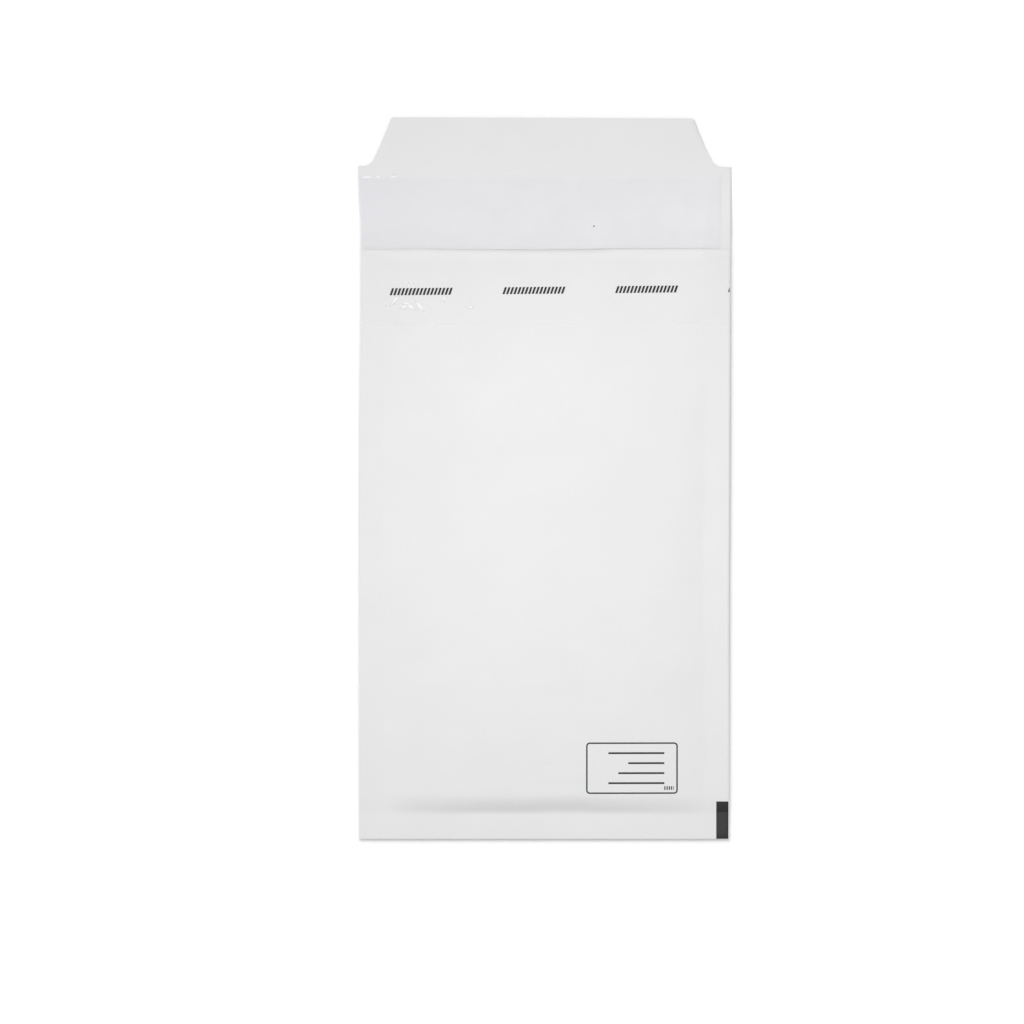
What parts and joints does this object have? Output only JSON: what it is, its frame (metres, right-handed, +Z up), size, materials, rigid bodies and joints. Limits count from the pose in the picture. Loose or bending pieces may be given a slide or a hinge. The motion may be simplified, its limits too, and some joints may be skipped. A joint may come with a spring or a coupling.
{
  "type": "bubble mailer",
  "caption": "Empty white paper bubble mailer with an open die-cut flap, release liner, re-open tape and two bubble film linings, lying back side up.",
  "frame": {"origin": "centre of the bounding box in X and Y, on the surface that the mailer lies on", "axes": "+X across the width, +Y from the bottom seal to the flap, +Z up from the front panel to the back panel"},
  "size_m": [0.14, 0.272, 0.0056],
  "materials": {
    "paper": "smooth white machine-glazed paper, slightly soft sheen",
    "bubble_film": "clear glossy polyethylene bubble film",
    "adhesive": "tacky pressure-sensitive glue film",
    "liner": "white siliconised paper with a satin gloss, slightly cockled",
    "clear_tape": "clear glossy polypropylene tape, small crinkles"
  },
  "bodies": {
    "root": {"front_sheet": "paper", "back_sheet": "paper", "front_bubble_film": "bubble_film", "back_bubble_film": "bubble_film", "adhesive_strip": "adhesive", "release_liner": "liner", "reopen_tape": "clear_tape"}
  },
  "joints": []
}
